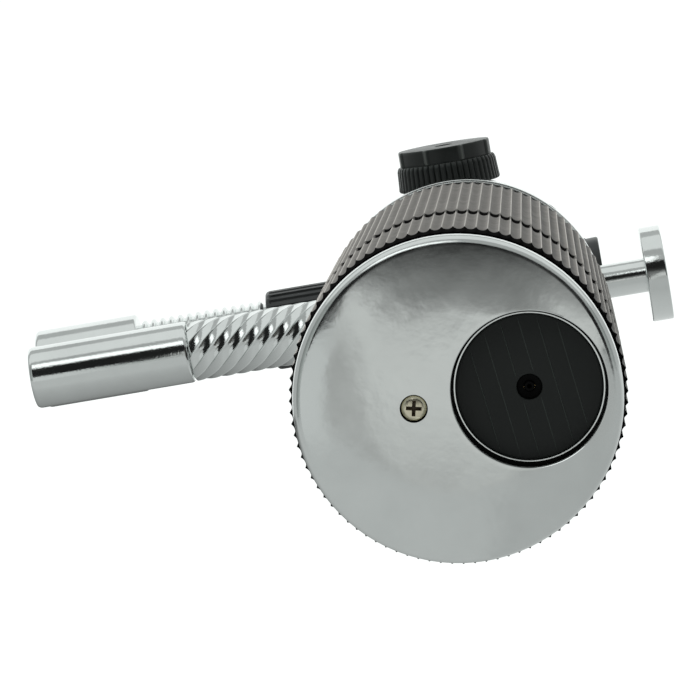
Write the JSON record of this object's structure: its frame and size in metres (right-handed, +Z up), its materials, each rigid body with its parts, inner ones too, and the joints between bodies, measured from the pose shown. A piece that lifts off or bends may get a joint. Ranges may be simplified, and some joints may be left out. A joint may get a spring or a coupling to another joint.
{
  "type": "lampwork torch",
  "caption": "Hand-held gas torch with an upright ribbed grip and fuel tank on a round, slightly domed base, parallel burners, a gas knob and a push rod igniter.",
  "frame": {"origin": "centre of the round base, on the plane that the torch stands on", "axes": "+Z up along the grip; the burners point along -X, the igniter rod along +X, and the gas knob faces -Y"},
  "size_m": [0.1444, 0.0673, 0.2011],
  "materials": {
    "chrome_plate": "polished chrome plate",
    "screw_plating": "pale yellow zinc plating",
    "dark_steel": "blackened",
    "steel": "drawn",
    "brass": "turned",
    "copper_tube": "drawn copper",
    "grip_rubber": "satin moulded ribs",
    "seal_rubber": "soft",
    "tank_plastic": "moulded, faint machining lines",
    "knob_plastic": "satin moulded",
    "barrel_plastic": "satin moulded",
    "ceramic": "glazed",
    "igniter_plastic": "moulded"
  },
  "bodies": {
    "root": {"base_cap": "chrome_plate", "base_screw": "screw_plating", "filler_bezel": "chrome_plate", "filler_plug": "tank_plastic", "valve_body": "brass", "valve_seal": "seal_rubber", "valve_spring": "steel", "fuel_tank": "tank_plastic", "tank_lid": "tank_plastic", "lid_seal": "seal_rubber", "pickup_tube": "steel", "outlet_fitting": "brass", "body_shell": "steel", "grip_band": "grip_rubber", "grip_sleeve": "grip_rubber", "collar": "chrome_plate", "collar_screws": "dark_steel", "head_housing": "chrome_plate", "head_dome": "chrome_plate", "dome_screws": "chrome_plate", "supply_tube": "copper_tube", "valve_block": "brass", "spindle_seal": "seal_rubber", "packing_nut": "brass", "main_jet": "brass", "mixer_tube": "chrome_plate", "flame_tube": "chrome_plate", "flame_holder": "brass", "electrode": "steel", "electrode_insulator": "ceramic", "piezo_unit": "igniter_plastic", "ignition_lead": "igniter_plastic", "return_spring": "steel", "rod_bushing": "chrome_plate", "upper_barrel": "barrel_plastic", "barrel_cap": "barrel_plastic", "finned_neck": "chrome_plate", "upper_nozzle": "chrome_plate", "upper_jet": "brass", "upper_gas_tube": "copper_tube"},
    "gas_knob": {"gas_spindle": "steel", "knob_skirt": "knob_plastic", "knob_cap": "knob_plastic"},
    "air_control": {"air_sleeve": "chrome_plate"},
    "igniter_rod": {"push_rod": "chrome_plate", "push_button": "chrome_plate"},
    "refill_stem": {"valve_stem": "tank_plastic"}
  },
  "joints": [
    {"name": "knob_turn", "type": "hinge", "parent": "root", "child": "gas_knob", "pos_m": [0, -0.03, 0.1725], "axis": [0, -1, 0], "range_deg": [0, 270]},
    {"name": "sleeve_turn", "type": "hinge", "parent": "root", "child": "air_control", "pos_m": [-0.043, 0, 0.1725], "axis": [1, 0, 0], "range_deg": [0, 45]},
    {"name": "rod_push", "type": "slide", "parent": "root", "child": "igniter_rod", "axis": [-1, 0, 0], "range_m": [0, 0.004], "stiffness_N_per_m": 1500, "springref_m": -0.001, "deforming": ["return_spring"]},
    {"name": "stem_lift", "type": "slide", "parent": "root", "child": "refill_stem", "axis": [0, 0, 1], "range_m": [0, 0.0015], "stiffness_N_per_m": 800, "springref_m": -0.001, "deforming": ["valve_spring"]}
  ]
}
